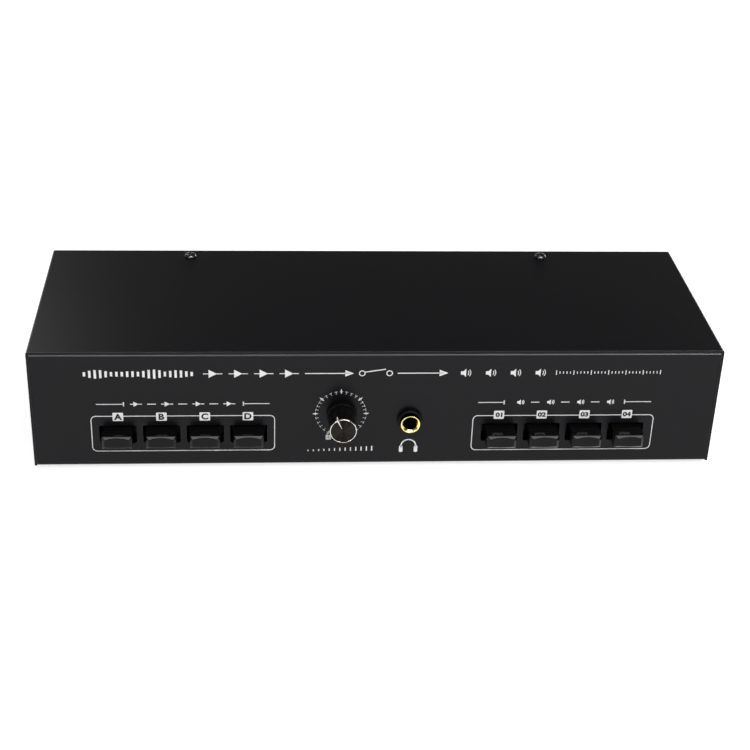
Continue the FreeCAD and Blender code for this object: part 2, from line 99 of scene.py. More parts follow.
def node_group(name, inputs, outputs):
    """An empty shader node group with named sockets, and its input and output nodes."""
    group = bpy.data.node_groups.new(name, "ShaderNodeTree")
    for label, kind, value in inputs:
        socket = group.interface.new_socket(label, in_out="INPUT", socket_type=kind)
        socket.default_value = value
    for label, kind in outputs:
        group.interface.new_socket(label, in_out="OUTPUT", socket_type=kind)
    return group, group.nodes.new("NodeGroupInput"), group.nodes.new("NodeGroupOutput")


def mottle_group():
    """Colour, roughness and height that vary over a surface: a fine grain and a broad, faint cloudiness."""
    group, source, sink = node_group("mottle", [
        ("Color", "NodeSocketColor", (0.5, 0.5, 0.5, 1)), ("Color Spread", "NodeSocketFloat", 0.1),
        ("Roughness", "NodeSocketFloat", 0.5), ("Roughness Spread", "NodeSocketFloat", 0.1),
        ("Grain Size", "NodeSocketFloat", 0.4), ("Cloud Size", "NodeSocketFloat", 30.0),
    ], [("Color", "NodeSocketColor"), ("Roughness", "NodeSocketFloat"), ("Height", "NodeSocketFloat")])
    make, link = group.nodes.new, group.links.new
    place = make("ShaderNodeTexCoord")
    noises = {}
    for label, detail in (("Grain Size", 3.0), ("Cloud Size", 2.0)):
        scale = make("ShaderNodeMath")
        scale.operation = "DIVIDE"
        scale.inputs[0].default_value = 1 / MM
        link(source.outputs[label], scale.inputs[1])
        noise = make("ShaderNodeTexNoise")
        noise.inputs["Detail"].default_value = detail
        link(place.outputs["Object"], noise.inputs["Vector"])
        link(scale.outputs[0], noise.inputs["Scale"])
        noises[label] = noise.outputs["Fac"]

    def spread(noise, amount, middle):
        """middle x (1 + amount x (noise - 0.5) x 2)."""
        swing = make("ShaderNodeMath")
        swing.operation = "MULTIPLY_ADD"
        swing.inputs[1].default_value = 2
        swing.inputs[2].default_value = -1
        link(noise, swing.inputs[0])
        share = make("ShaderNodeMath")
        share.operation = "MULTIPLY_ADD"
        share.inputs[2].default_value = 1
        link(swing.outputs[0], share.inputs[0])
        link(source.outputs[amount], share.inputs[1])
        product = make("ShaderNodeVectorMath")
        product.operation = "SCALE"
        link(source.outputs[middle], product.inputs[0])
        link(share.outputs[0], product.inputs["Scale"])
        return product.outputs[0]

    link(spread(noises["Cloud Size"], "Color Spread", "Color"), sink.inputs["Color"])
    rough = make("ShaderNodeSeparateXYZ")
    link(spread(noises["Grain Size"], "Roughness Spread", "Roughness"), rough.inputs[0])
    link(rough.outputs[0], sink.inputs["Roughness"])
    link(noises["Grain Size"], sink.inputs["Height"])
    return group


MOTTLE = mottle_group()


def finish_of(name, color, roughness, *, metallic=0.0, specular=0.5, coat=0.0, color_spread=0.1,
              roughness_spread=0.15, grain=0.4, cloud=30.0, bump=0.1, bump_depth=0.02):
    """A Principled material whose colour, roughness and relief come from the mottle group."""
    material = bpy.data.materials.new(name)
    material.use_nodes = True
    tree = material.node_tree
    shader = tree.nodes["Principled BSDF"]
    shader.inputs["Metallic"].default_value = metallic
    shader.inputs["Specular IOR Level"].default_value = specular
    shader.inputs["Coat Weight"].default_value = coat
    mottle = tree.nodes.new("ShaderNodeGroup")
    mottle.node_tree = MOTTLE
    for label, value in (("Color", color), ("Color Spread", color_spread),
                         ("Roughness", roughness), ("Roughness Spread", roughness_spread),
                         ("Grain Size", grain), ("Cloud Size", cloud)):
        mottle.inputs[label].default_value = value
    relief = tree.nodes.new("ShaderNodeBump")
    relief.inputs["Strength"].default_value = bump
    relief.inputs["Distance"].default_value = bump_depth * MM
    tree.links.new(mottle.outputs["Color"], shader.inputs["Base Color"])
    tree.links.new(mottle.outputs["Roughness"], shader.inputs["Roughness"])
    tree.links.new(mottle.outputs["Height"], relief.inputs["Height"])
    tree.links.new(relief.outputs["Normal"], shader.inputs["Normal"])
    return material


def dress(piece, material):
    """Give a piece one material on all its faces."""
    piece.data.materials.clear()
    piece.data.materials.append(material)
    piece.data.polygons.foreach_set("material_index", np.zeros(len(piece.data.polygons), np.int32))
    return piece


def soften(piece, width, segments=2):
    """Round a piece's edges with a bevel and keep its broad faces flat."""
    piece.data.shade_smooth()
    rounding = piece.modifiers.new("eased edges", "BEVEL")
    rounding.width = width
    rounding.segments = segments
    rounding.limit_method = "ANGLE"
    rounding.angle_limit = FOLD_ANGLE
    flat = piece.modifiers.new("flat faces", "WEIGHTED_NORMAL")
    flat.weight = FLAT_WEIGHT
    flat.keep_sharp = True


def stand_for(piece, node):
    """Make a piece ride on a node's body and hide the node."""
    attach(piece, nodes[node]["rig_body"])
    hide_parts(node)
    return piece


def eased(node, material, width, segments=2):
    """A copy of a node with its edges rounded; it stands for the node."""
    mesh = nodes[node].data.copy()
    work = bmesh.new()
    work.from_mesh(mesh)
    bmesh.ops.remove_doubles(work, verts=work.verts, dist=MERGE_DISTANCE)
    bmesh.ops.dissolve_limit(work, angle_limit=SAME_PLANE, verts=work.verts, edges=work.edges)
    work.to_mesh(mesh)
    work.free()
    piece = bpy.data.objects.new(f"{node}_finished", mesh)
    scene.collection.objects.link(piece)
    soften(piece, width, segments)
    return stand_for(dress(piece, material), node)


powder = finish_of("powder_coat", POWDER_BLACK, 0.30, specular=0.18, color_spread=0.12, grain=0.35,
                   cloud=45.0, bump=0.30, bump_depth=0.02)
painted_fold_highlight = finish_of("painted_fold_highlight", PAINTED_EDGE_HIGHLIGHT, 0.24, specular=0.45, color_spread=0.3, grain=0.35,
                        cloud=12.0, bump=0.2)
# Faces on folds, and the eased edges, take the lighter fold material: a painted highlight.
for node in ("base_chassis", "top_cover"):
    sheet = eased(node, powder, EDGE_EASE)
    sheet.data.materials.append(painted_fold_highlight)
    for face in sheet.data.polygons:
        face.material_index = int(max(map(abs, face.normal)) < FLAT_SHARE)
    sheet.modifiers["eased edges"].material = 1


# Screen print: white ink on the panel, drawn with thin lines. A rounded outline holds each row of buttons,
# with a lettered or numbered badge over every button. Rules, a dial scale and plain signs fill the rest.
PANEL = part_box("base_chassis")[0].y
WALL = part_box("base_chassis")[1].y
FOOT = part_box("rubber_feet")[1].z
INK_DEPTH = 0.03 * MM
LINE, RULE, LEAD, BOLD, HEAVY = 0.38 * MM, 0.36 * MM, 0.4 * MM, 0.45 * MM, 0.5 * MM


def middle_of(node):
    """The middle of a node's box."""
    low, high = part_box(node)
    return (low + high) / 2


white_ink = finish_of("white_print", (0.88, 0.88, 0.87, 1), 0.55, specular=0.3, grain=0.2, cloud=3.0,
                      color_spread=0.05, bump=0.1)
dark_ink = finish_of("dark_print", (0.02, 0.02, 0.022, 1), 0.6, specular=0.2, grain=0.2)


def ribbon(path, width=LINE, closed=False):
    """A flat band along a path: each point is moved half the width to both sides of the path's run."""
    path = np.asarray(path, float)
    ahead = np.roll(path, -1, 0) - np.roll(path, 1, 0)
    if not closed:
        ahead[0], ahead[-1] = path[1] - path[0], path[-1] - path[-2]
    ahead /= np.linalg.norm(ahead, axis=1, keepdims=True)
    aside = np.stack([-ahead[:, 1], ahead[:, 0]], 1) * width / 2
    count = len(path)
    start = np.arange(count if closed else count - 1)
    following = (start + 1) % count
    return np.concatenate([path - aside, path + aside]), np.stack(
        [start, following, following + count, start + count], 1).tolist()


def arc(middle, radius, first, last, steps=24):
    """Points of a circle about a middle, from the first angle to the last, in degrees."""
    turn = np.radians(np.linspace(first, last, steps))
    return np.asarray(middle) + radius * np.stack([np.cos(turn), np.sin(turn)], 1)


def filled(outline):
    """One flat face inside an outline."""
    return np.asarray(outline, float), [list(range(len(outline)))]


def rounded_outline(low, high, radius, steps=7):
    """The outline of a box with round corners, counter-clockwise from the lower right."""
    (left, bottom), (right, top) = low, high
    corners = [((right - radius, bottom + radius), -90), ((right - radius, top - radius), 0),
               ((left + radius, top - radius), 90), ((left + radius, bottom + radius), 180)]
    return np.concatenate([arc(middle, radius, first, first + 90, steps) for middle, first in corners])


def letters(text, middle, height, stretch=1.0, weight=0.03):
    """Plain bold characters of a given height, centred on a point, drawn wider by the stretch."""
    curve = bpy.data.curves.new("characters", "FONT")
    curve.body = text
    curve.resolution_u = 4
    curve.offset = weight
    holder = bpy.data.objects.new("characters", curve)
    scene.collection.objects.link(holder)
    mesh = bpy.data.meshes.new_from_object(holder.evaluated_get(bpy.context.evaluated_depsgraph_get()))
    points = np.array([vertex.co[:2] for vertex in mesh.vertices])
    faces = [list(face.vertices) for face in mesh.polygons]
    bpy.data.objects.remove(holder)
    low, high = points.min(0), points.max(0)
    scale = height / (high[1] - low[1])
    return (points - (low + high) / 2) * scale * (stretch, 1) + np.asarray(middle), faces


def printed(name, shapes, ink, layer=0, behind=False):
    """A thin print from flat shapes of (across, height above the case's bottom); on the rear wall, across
    runs to the viewer's right there."""
    points, faces = [], []
    total = 0
    for shape_points, shape_faces in shapes:
        points.append(shape_points)
        faces += [[corner + total for corner in face] for face in shape_faces]
        total += len(shape_points)
    flat = np.concatenate(points)
    outward = 1 if behind else -1
    level = np.full(len(flat), (WALL if behind else PANEL) + outward * INK_DEPTH * (layer + 1))
    mesh = bpy.data.meshes.new(name)
    mesh.from_pydata(np.stack([-outward * flat[:, 0], level, flat[:, 1] + FOOT], 1).tolist(), [], faces)
    work = bmesh.new()
    work.from_mesh(mesh)
    for face in work.faces:
        face.normal_update()
        if face.normal.y * outward < 0:
            face.normal_flip()
    work.to_mesh(mesh)
    work.free()
    piece = bpy.data.objects.new(name, mesh)
    scene.collection.objects.link(piece)
    body = piece.modifiers.new("ink", "SOLIDIFY")
    body.thickness = INK_DEPTH
    body.offset = -1
    dress(piece, ink)
    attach(piece, "root")
    return piece


def at(x, height):
    """A point on the panel, in millimetres."""
    return np.array([x, height]) * MM


TICK = 1.1


def rule(x1, x2, height, tick_at):
    """A thin line with a short end tick."""
    return [ribbon([at(x1, height), at(x2, height)], RULE),
            ribbon([at(tick_at, height - TICK), at(tick_at, height + TICK)], HEAVY)]


def amplifier(x, height, size):
    """A triangle that points right, with a lead on each side: the usual sign for an amplifier."""
    half = size / 2
    outline = [at(x - half * 0.9, height + half), at(x - half * 0.9, height - half),
               at(x + half * 0.9, height)]
    return [filled(outline),
            ribbon([at(x - size * 1.05, height), at(x - half * 0.85, height)], LEAD),
            ribbon([at(x + half * 0.85, height), at(x + size * 1.05, height)], LEAD)]


def loudspeaker(x, height, size):
    """A small box with a widening horn and two curved waves: the usual sign for a loudspeaker."""
    half = size / 2
    horn = [at(x - half, height - half * 0.42), at(x - half * 0.45, height - half * 0.42),
            at(x + half * 0.15, height - half), at(x + half * 0.15, height + half),
            at(x - half * 0.45, height + half * 0.42), at(x - half, height + half * 0.42)]
    waves = [ribbon(arc(at(x, height), reach * half * MM, -42, 42, 9), RULE) for reach in (0.75, 1.2)]
    return [filled(horn), *waves]


def arrow(x1, x2, height, size):
    """A line with a filled head at its right end."""
    head = [at(x2 - size, height - size * 0.42), at(x2, height), at(x2 - size, height + size * 0.42)]
    return [ribbon([at(x1, height), at(x2 - size * 0.6, height)], BOLD), filled(head)]


BADGE = np.array([4.9, 4.4]) * MM
BADGE_LEVEL, RULE_LEVEL = 26.2, 32.9
OUTLINE_HEIGHT, OUTLINE_ROUND = 18.8 * MM, 2.2 * MM
SIGN_PITCH, DASH_FROM, DASH_TO = 14.2, 5.1, 9.1


def badge(spot):
    """A filled rectangle with eased corners."""
    return filled(rounded_outline(spot - BADGE / 2, spot + BADGE / 2, 0.4 * MM, 4))


def badge_text(mark, spot):
    """A letter, or a number of two digits, in a badge."""
    if mark.isalpha():
        return letters(mark, spot, 3.3 * MM, 1.1, 0.04)
    return letters(mark, spot, 2.5 * MM, 1.2, 0.05)


# A row's marks; half width and foot of its outline; pitch and shift of its badges; ends of its two rules
# from the row's middle; its sign and that sign's size.
ROWS = {
    "input": ("ABCD", 42.2, 7.75, 19.9, 0.0, (-39.5, -27.0), (27.8, 39.9), amplifier, 2.6),
    "output": (("01", "02", "03", "04"), 43.0, 6.95, 20.3, -0.4, (-41.1, -28.9), (28.2, 40.8),
               loudspeaker, 2.9),
}
for name, (marks, half_width, foot, pitch, shift, left_rule, right_rule, sign, size) in ROWS.items():
    places = [middle_of(f"{name}_button_{mark.lower().lstrip('0')}").x for mark in marks]
    centre = sum(places) / len(places)
    low = np.array([centre - half_width * MM, foot * MM])
    outline = rounded_outline(low, low + (2 * half_width * MM, OUTLINE_HEIGHT), OUTLINE_ROUND)
    shapes = [ribbon(outline, closed=True)]
    centre /= MM
    shapes += rule(centre + left_rule[0], centre + left_rule[1], RULE_LEVEL, centre + left_rule[1])
    shapes += rule(centre + right_rule[0], centre + right_rule[1], RULE_LEVEL, centre + right_rule[0])
    for column in range(4):
        x = centre + (column - 1.5) * SIGN_PITCH
        shapes += sign(x, RULE_LEVEL, size)
        if column < 3:
            shapes.append(ribbon([at(x + DASH_FROM, RULE_LEVEL), at(x + DASH_TO, RULE_LEVEL)], LEAD))
    printed(f"{name}_print", shapes, white_ink)
    spots = [at(centre + shift + (column - 1.5) * pitch, BADGE_LEVEL) for column in range(4)]
    printed(f"{name}_badges", [badge(spot) for spot in spots], white_ink, layer=1)
    texts = [badge_text(mark, spot) for mark, spot in zip(marks, spots)]
    printed(f"{name}_marks", texts, dark_ink, layer=2)

# Title row: a band of level bars, then the signal's way from amplifiers through a switch to loudspeakers,
# and a fine scale at its right end.
TITLE_LEVEL, TITLE_SIZE, TITLE_STEP = 48.7, 4.2, 11.6
FIRST_AMPLIFIER, FIRST_LOUDSPEAKER, ARROW_HEAD = -76.5, 39.5, 4.0
CONTACTS, CONTACT_RADIUS = (-8.2, 4.4), 1.3 * MM


def upright_bars(x1, x2, heights, width):
    """Upright bars, evenly spaced and centred on the title row."""
    return [ribbon([at(x, TITLE_LEVEL - height / 2), at(x, TITLE_LEVEL + height / 2)], width * MM)
            for x, height in zip(np.linspace(x1, x2, len(heights)), heights)]


beat = np.arange(21)
shapes = upright_bars(-134.5, -86, 2.2 + 2.6 * np.abs(np.sin(beat * 0.62) * np.cos(beat * 0.23)), 1.1)
shapes += upright_bars(82, 131, np.where(np.arange(31) % 5, 1.2, 2.3), 0.4)
for column in range(4):
    shapes += amplifier(FIRST_AMPLIFIER + column * TITLE_STEP, TITLE_LEVEL, TITLE_SIZE)
    shapes += loudspeaker(FIRST_LOUDSPEAKER + column * TITLE_STEP, TITLE_LEVEL, TITLE_SIZE)
shapes += arrow(-34.5, -12, TITLE_LEVEL, ARROW_HEAD)
shapes += [ribbon(arc(at(x, TITLE_LEVEL), CONTACT_RADIUS, 0, 345, 20), BOLD, closed=True) for x in CONTACTS]
shapes.append(ribbon([at(-7.0, TITLE_LEVEL + 0.6), at(2.6, TITLE_LEVEL + 2.1)], HEAVY))
shapes += arrow(8.2, 31.5, TITLE_LEVEL, ARROW_HEAD)
printed("title_print", shapes, white_ink)

# Dial scale: seven long marks with small tees between them, and a small square at the low end. The print
# stands a little to the left of the knob. A row of growing bars under it stands for the volume.
KNOB = middle_of("volume_knob")
SCALE_X, SCALE_HEIGHT = KNOB.x / MM - 0.4, (KNOB.z - FOOT) / MM
SCALE_RADIUS, STEM = 11.8, 1.3
LONG_DASH, TEE_LINE = 0.3 * MM, 0.17 * MM
LONG_MARKS = (-151, -90, -49, 0, 49, 90, 151)
TEES_BETWEEN = (4, 3, 3, 3, 3, 4)


def dial(radius, angle):
    """A point of the scale; the angle is in degrees clockwise from the top."""
    turn = math.radians(angle)
    return at(SCALE_X + radius * math.sin(turn), SCALE_HEIGHT + radius * math.cos(turn))


def long_mark(angle):
    """A slim diamond along the radius with a short dash across it."""
    return [filled([dial(SCALE_RADIUS - 1.4, angle), dial(SCALE_RADIUS, angle + 2.3),
                    dial(SCALE_RADIUS + 1.4, angle), dial(SCALE_RADIUS, angle - 2.3)]),
            ribbon([dial(SCALE_RADIUS, angle - 3.6), dial(SCALE_RADIUS, angle + 3.6)], LONG_DASH)]


def tee(angle):
    """A short dash across the radius with a stem inward."""
    return [ribbon([dial(SCALE_RADIUS, angle - 3.3), dial(SCALE_RADIUS, angle + 3.3)], TEE_LINE),
            ribbon([dial(SCALE_RADIUS - STEM, angle), dial(SCALE_RADIUS, angle)], TEE_LINE)]


shapes = []
for mark in LONG_MARKS:
    shapes += long_mark(mark)
for mark, following, count in zip(LONG_MARKS, LONG_MARKS[1:], TEES_BETWEEN):
    for angle in np.linspace(mark, following, count + 2)[1:-1]:
        shapes += tee(angle)
zero = dial(SCALE_RADIUS, LONG_MARKS[0]) + at(0.2, -2.5)
half = at(1.15, 1.15)
quarter = half / 2
for side in ((-1, -1), (-1, 1), (1, -1), (1, 1)):
    window = zero + quarter * side
    shapes.append(filled(rounded_outline(window - quarter * 0.86, window + quarter * 0.86, 0.12 * MM, 3)))
shapes.append(ribbon(rounded_outline(zero - half, zero + half, 0.3 * MM, 3), LONG_DASH, closed=True))
BARS, BAR_LEVEL, BAR_WIDTH, BAR_SPAN = 13, 6.9, 0.55 * MM, 30
for bar in range(BARS):
    share = bar / (BARS - 1)
    x = SCALE_X + BAR_SPAN * (share - 0.5)
    shapes.append(ribbon([at(x, BAR_LEVEL), at(x, BAR_LEVEL + 0.7 + 1.9 * share)], BAR_WIDTH))
printed("volume_print", shapes, white_ink)

# Headphone sign under the socket: a band over two ear pads.
JACK_X = middle_of("jack_bushing").x / MM
BAND_RADIUS, PAD_HALF = 3.5, 0.85
band = ribbon(arc(at(JACK_X, 9.4), BAND_RADIUS * MM, -10, 190, 32), 0.6 * MM)
pads = [filled(rounded_outline(at(x - PAD_HALF, 6.0), at(x + PAD_HALF, 9.6), 0.6 * MM, 4))
        for x in (JACK_X - BAND_RADIUS, JACK_X + BAND_RADIUS)]
printed("headphone_print", [band, *pads], white_ink)

# Rear print: an outline round the four posts of each channel, with the same badge as its button, and a plus
# or minus beside the posts of each row.
CHANNELS = {"a": "A", "b": "B", "c": "C", "d": "D", "1": "01", "2": "02", "3": "03", "4": "04"}
FRAME_MARGIN, SIGN_ARM = at(8.6, 9.6), 1.3
outlines, plates, marks = [], [], []
for channel, mark in CHANNELS.items():
    corners = [middle_of(f"cap_{channel}_{post}") for post in ("left_minus", "right_plus")]
    ends = sorted(-corner.x for corner in corners)
    low = np.array([ends[0], corners[0].z - FOOT]) - FRAME_MARGIN
    high = np.array([ends[1], corners[1].z - FOOT]) + FRAME_MARGIN
    outlines.append(ribbon(rounded_outline(low, high, OUTLINE_ROUND), closed=True))
    spot = np.array([(low[0] + high[0]) / 2, high[1]])
    plates.append(badge(spot))
    marks.append(badge_text(mark, spot))
    for corner, upright in zip(corners, (False, True)):
        sign = np.array([(ends[0] + ends[1]) / 2, corner.z - FOOT])
        outlines.append(ribbon([sign - at(SIGN_ARM, 0), sign + at(SIGN_ARM, 0)], HEAVY))
        if upright:
            outlines.append(ribbon([sign - at(0, SIGN_ARM), sign + at(0, SIGN_ARM)], HEAVY))
printed("rear_print", outlines, white_ink, behind=True)
printed("rear_badges", plates, white_ink, layer=1, behind=True)
printed("rear_marks", marks, dark_ink, layer=2, behind=True)


# Cover screws: cross-recess pan heads of blackened steel, a little worn on the crown. They hold the cover
# to the chassis: two in the top near the rear edge, and the rest in the sides.
screw_black = finish_of("black_screw", (0.11, 0.11, 0.12, 1), 0.26, metallic=1.0, roughness_spread=0.3,
                        grain=0.25, bump=0.2)
eased("cover_screws", screw_black, 0.12 * MM)


# Rubber feet: matt black moulded pads with an eased edge, fixed under the four corners of the chassis,
# which keep the case off the table.
foot_rubber = finish_of("foot_rubber", (0.018, 0.018, 0.018, 1), 0.85, specular=0.3, grain=0.5, bump=0.4)
eased("rubber_feet", foot_rubber, 0.2 * MM)


# Push buttons: glossy black moulded caps with a bevelled, dished face, each pushed on the stem of its
# switch. The inputs are latched in, the outputs stand out.
MOULDED_BLACK = (0.004, 0.004, 0.0045, 1)
button_plastic = finish_of("button_plastic", MOULDED_BLACK, 0.10, specular=0.15, color_spread=0.05,
                           roughness_spread=0.2, grain=0.8, bump=0.02)
BUTTONS = [f"input_button_{letter}" for letter in "abcd"] + [f"output_button_{n}" for n in (1, 2, 3, 4)]
for node in BUTTONS:
    eased(node, button_plastic, 0.28 * MM, 3)


# Inside the case: moulded switch bodies and socket body, a steel potentiometer with its shaft and nut, and
# two glass-fibre boards. The main board stands on turned brass standoffs, with steel screws and nuts.
switch_plastic = finish_of("switch_plastic", (0.03, 0.03, 0.034, 1), 0.5, grain=0.4)
steel = finish_of("steel", (0.56, 0.56, 0.57, 1), 0.3, metallic=1.0, grain=0.2, roughness_spread=0.3)
brass = finish_of("brass", (0.70, 0.50, 0.22, 1), 0.3, metallic=1.0, grain=0.2, roughness_spread=0.3)
circuit_board = finish_of("circuit_board", (0.006, 0.024, 0.014, 1), 0.4, cloud=4.0, color_spread=0.35)
for node, material, label in (
        ("switch_bodies", switch_plastic, "switch_plastic"), ("jack_body", switch_plastic, "switch_plastic"),
        ("pot_body", steel, "steel"), ("pot_nut", steel, "steel"), ("pot_shaft", steel, "steel"),
        ("board_screws", steel, "steel"), ("post_nuts", steel, "steel"), ("board_standoffs", brass, "brass"),
        ("main_board", circuit_board, "circuit_board"), ("terminal_board", circuit_board, "circuit_board")):
    dress(nodes[node], material)


# Volume knob: a moulded body with a wider foot, pushed on the potentiometer's shaft, with a turned metal
# face that is dark inside a bright rim. A white line runs along the side and over the face.
knob_plastic = finish_of("knob_plastic", MOULDED_BLACK, 0.3, specular=0.08, grain=0.5, bump=0.05)
eased("volume_knob", knob_plastic, 0.25 * MM, 3)
FACE_LOW, FACE_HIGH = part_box("knob_face")
FACE_RADIUS = (FACE_HIGH.x - FACE_LOW.x) / 2
FACE_LENGTH = FACE_HIGH.y - FACE_LOW.y
RIM_WIDTH, FACE_SINK, RIM_BEVEL = 0.38 * MM, 0.06 * MM, 0.28 * MM
GROOVE_PITCH, GROOVE_DEPTH, STEPS_A_GROOVE = 0.25 * MM, 0.030 * MM, 8


def turned(name, profile, node, segments=96):
    """A piece turned about the axis that runs back through a node's middle: ring k has the radius of point
    k of the profile and lies at its depth behind the node's front, and the last ring joins the first."""
    middle, front = middle_of(node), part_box(node)[0].y
    radii, depths = np.asarray(profile).T
    around = np.linspace(0, 2 * math.pi, segments, endpoint=False)
    points = np.stack([np.outer(radii, np.sin(around)) + middle.x,
                       np.repeat(depths[:, None], segments, 1) + front,
                       np.outer(radii, np.cos(around)) + middle.z], 2).reshape(-1, 3)
    ring, step = np.meshgrid(np.arange(len(radii)), np.arange(segments), indexing="ij")
    after, following = (step + 1) % segments, (ring + 1) % len(radii)
    quads = np.stack([ring * segments + step, following * segments + step,
                      following * segments + after, ring * segments + after], 2).reshape(-1, 4)
    mesh = bpy.data.meshes.new(name)
    mesh.from_pydata(points.tolist(), [], quads.tolist())
    work = bmesh.new()
    work.from_mesh(mesh)
    bmesh.ops.remove_doubles(work, verts=work.verts, dist=0.001 * MM)
    bmesh.ops.recalc_face_normals(work, faces=work.faces)
    work.to_mesh(mesh)
    work.free()
    mesh.shade_smooth()
    piece = bpy.data.objects.new(name, mesh)
    scene.collection.objects.link(piece)
    return piece


def band_of_color(material, other, node, low, high):
    """Keep a material's colour between two radii about a node's axis, and give it another elsewhere."""
    tree = material.node_tree
    make, link = tree.nodes.new, tree.links.new
    middle = middle_of(node)
    place = make("ShaderNodeTexCoord")
    centred = make("ShaderNodeMapping")
    centred.inputs["Location"].default_value = (-middle.x, 0, -middle.z)
    centred.inputs["Scale"].default_value = (1, 0, 1)
    link(place.outputs["Object"], centred.inputs["Vector"])
    reach = make("ShaderNodeVectorMath")
    reach.operation = "LENGTH"
    link(centred.outputs[0], reach.inputs[0])
    within = make("ShaderNodeMath")
    within.operation = "COMPARE"
    within.inputs[1].default_value = (low + high) / 2
    within.inputs[2].default_value = (high - low) / 2
    link(reach.outputs["Value"], within.inputs[0])
    blend = make("ShaderNodeMix")
    blend.data_type = "RGBA"
    color = tree.nodes["Principled BSDF"].inputs["Base Color"]
    kept = color.links[0].from_socket
    link(within.outputs[0], blend.inputs["Factor"])
    blend.inputs["A"].default_value = other
    link(kept, blend.inputs["B"])
    link(blend.outputs["Result"], color)


inside = FACE_RADIUS - RIM_WIDTH
grooved = np.linspace(0, inside, round(inside / GROOVE_PITCH * STEPS_A_GROOVE))
wave = FACE_SINK + GROOVE_DEPTH * np.cos(2 * math.pi * grooved / GROOVE_PITCH)
lip = [(inside + FACE_SINK, 0), (FACE_RADIUS - RIM_BEVEL, 0), (FACE_RADIUS - 0.7 * RIM_BEVEL, 0.05 * MM),
       (FACE_RADIUS - 0.3 * RIM_BEVEL, 0.14 * MM), (FACE_RADIUS, RIM_BEVEL), (FACE_RADIUS, FACE_LENGTH),
       (0, FACE_LENGTH)]
face = turned("knob_face_finished", [*zip(grooved, wave), *lip], "knob_face")
knob_metal = finish_of("knob_metal", (0.74, 0.73, 0.71, 1), 0.12, metallic=1.0, grain=0.3, bump=0.03)
band_of_color(knob_metal, (0.022, 0.018, 0.015, 1), "knob_face", inside, 2 * FACE_RADIUS)
dress(face, knob_metal)
stand_for(face, "knob_face")

POINTER_ANGLE, POINTER_WIDTH, POINTER_LIFT = math.radians(-26), 0.62 * MM, 0.03 * MM
SIDE_LENGTH, INNER_END = 3.4 * MM, 1.6 * MM
outward = np.array([math.sin(POINTER_ANGLE), math.cos(POINTER_ANGLE)])
aside = np.array([outward[1], -outward[0]])
over_grooves = FACE_SINK - POINTER_LIFT - GROOVE_DEPTH
line = np.array([  # radius, depth behind the front, share of the width
    [INNER_END, over_grooves, 0.3], [inside, over_grooves, 1],
    [inside + 0.05 * MM, 0, 1], [FACE_RADIUS - RIM_BEVEL, 0, 1],
    [FACE_RADIUS + POINTER_LIFT, RIM_BEVEL, 1], [FACE_RADIUS + POINTER_LIFT, FACE_LENGTH, 1],
    [FACE_RADIUS + 2 * POINTER_LIFT, SIDE_LENGTH, 0.8]])
halves = line[:, 2:] * POINTER_WIDTH / 2
spine = line[:, :1] * outward + np.array([[KNOB.x, KNOB.z]])
flanks = np.concatenate([spine - halves * aside, spine + halves * aside])
depth = np.tile(line[:, 1], 2) + FACE_LOW.y
count = len(line)
mesh = bpy.data.meshes.new("knob_pointer")
mesh.from_pydata(np.stack([flanks[:, 0], depth, flanks[:, 1]], 1).tolist(), [],
                 [[k, k + count, k + count + 1, k + 1] for k in range(count - 1)])
pointer = bpy.data.objects.new("knob_pointer", mesh)
scene.collection.objects.link(pointer)
body = pointer.modifiers.new("ink", "SOLIDIFY")
body.thickness = POINTER_LIFT
body.offset = -1
dress(pointer, white_ink)
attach(pointer, "knob")


# Headphone socket: a turned brass sleeve, gold plated on its countersunk mouth, dark on its outer side, and
# painted dark in its bore as shade. It passes through the panel, and a black ring nut round it holds it
# there.
BORE_RADIUS, MOUTH_DEPTH, MOUTH_RIM = 3.2 * MM, 0.9 * MM, 0.3 * MM
SOCKET_LOW, SOCKET_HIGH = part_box("jack_bushing")
sleeve_radius, sleeve_length = (SOCKET_HIGH.x - SOCKET_LOW.x) / 2, SOCKET_HIGH.y - SOCKET_LOW.y
sleeve = turned("jack_bushing_finished", [
    (BORE_RADIUS, sleeve_length), (BORE_RADIUS, MOUTH_DEPTH), (BORE_RADIUS + MOUTH_DEPTH, 0),
    (sleeve_radius - MOUTH_RIM, 0), (sleeve_radius, MOUTH_RIM), (sleeve_radius, sleeve_length)],
    "jack_bushing")
soften(sleeve, 0.12 * MM, 3)
gold = finish_of("gold_plate", (0.90, 0.68, 0.22, 1), 0.16, metallic=1.0, roughness_spread=0.3, grain=0.3)
socket_gold = finish_of("socket_gold", (0.95, 0.80, 0.28, 1), 0.2, metallic=1.0, roughness_spread=0.3,
                        grain=0.3)
# Outside the gold band the sleeve is near black: in the bore this is painted shade, and on the outer side
# and rim it is plain dark.
band_of_color(socket_gold, (0.006, 0.006, 0.006, 1), "jack_bushing", BORE_RADIUS + 0.05 * MM,
              sleeve_radius - 0.8 * MOUTH_RIM)
stand_for(dress(sleeve, socket_gold), "jack_bushing")
ring_plastic = finish_of("ring_plastic", MOULDED_BLACK, 0.42, specular=0.12, grain=0.4)
eased("jack_nut", ring_plastic, 0.15 * MM)


# Binding posts: gold-plated turned studs with a plug hole, moulded black insulators that hold them clear
# of the rear wall, and fluted plastic caps screwed on, red above and black below.
red_plastic = finish_of("red_cap", (0.42, 0.010, 0.012, 1), 0.2, coat=0.3, grain=0.6, color_spread=0.08)
black_plastic = finish_of("black_cap", (0.012, 0.012, 0.012, 1), 0.2, coat=0.3, grain=0.6)
eased("post_studs", gold, 0.12 * MM)
dress(nodes["post_insulators"], ring_plastic)
for node in nodes:
    if node.startswith("cap_"):
        plus = node.endswith("plus")
        eased(node, red_plastic if plus else black_plastic, 0.15 * MM)


